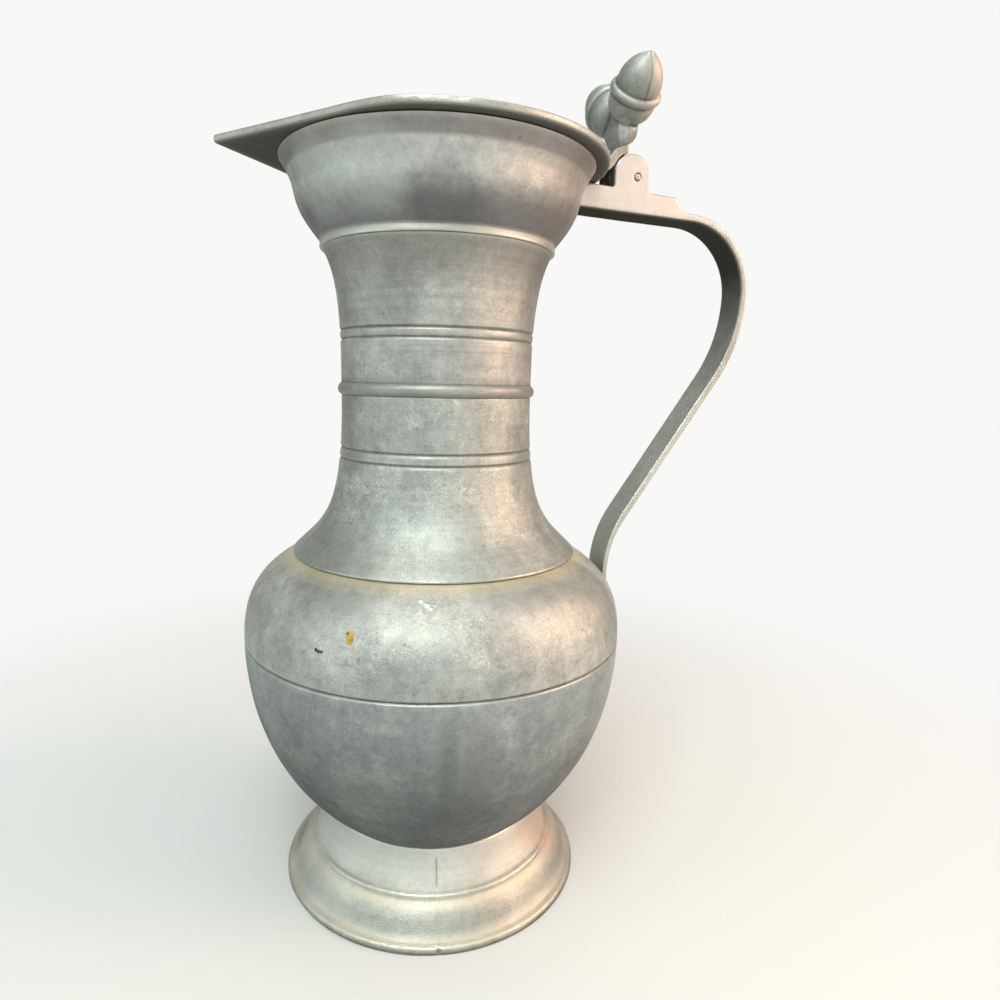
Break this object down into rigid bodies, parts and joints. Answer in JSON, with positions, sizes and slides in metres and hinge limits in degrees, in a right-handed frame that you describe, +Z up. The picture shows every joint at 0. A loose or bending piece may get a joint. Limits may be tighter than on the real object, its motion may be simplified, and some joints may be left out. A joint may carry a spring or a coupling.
{
  "type": "lidded flagon",
  "caption": "Cast pewter flagon with a spread foot, round belly, trumpet neck, strap handle and a hinged heart-shaped lid with a twin-acorn thumbpiece.",
  "frame": {"origin": "on the vessel's axis, in the plane of the foot's underside", "axes": "+Z up, +X from the vessel's axis towards the handle, the lid's beak towards -X, the hinge pin along Y"},
  "size_m": [0.1841, 0.1288, 0.278],
  "materials": {
    "foot_pewter": "aged satin pewter, turned and scratched",
    "vessel_pewter": "aged satin pewter, turned, mottled grey patina",
    "handle_pewter": "aged satin pewter, cast and rubbed smooth at the edges",
    "pin_pewter": "hammered pin end, worn smooth",
    "lid_pewter": "aged satin pewter, mottled, dark on the underside",
    "thumbpiece_pewter": "cast pewter, left darker in the hollows"
  },
  "bodies": {
    "vessel_body": {"foot": "foot_pewter", "lower_belly": "vessel_pewter", "shoulder": "vessel_pewter", "lower_neck": "vessel_pewter", "upper_neck": "vessel_pewter", "mouth_bowl": "vessel_pewter", "handle": "handle_pewter", "hinge_pin": "pin_pewter"},
    "lid_body": {"lid": "lid_pewter", "lid_tongue": "lid_pewter", "thumbpiece": "thumbpiece_pewter"}
  },
  "joints": [
    {"name": "lid_hinge", "type": "hinge", "parent": "vessel_body", "child": "lid_body", "pos_m": [0.0682, 0, 0.2432], "axis": [0, 1, 0], "range_deg": [0, 100]}
  ]
}
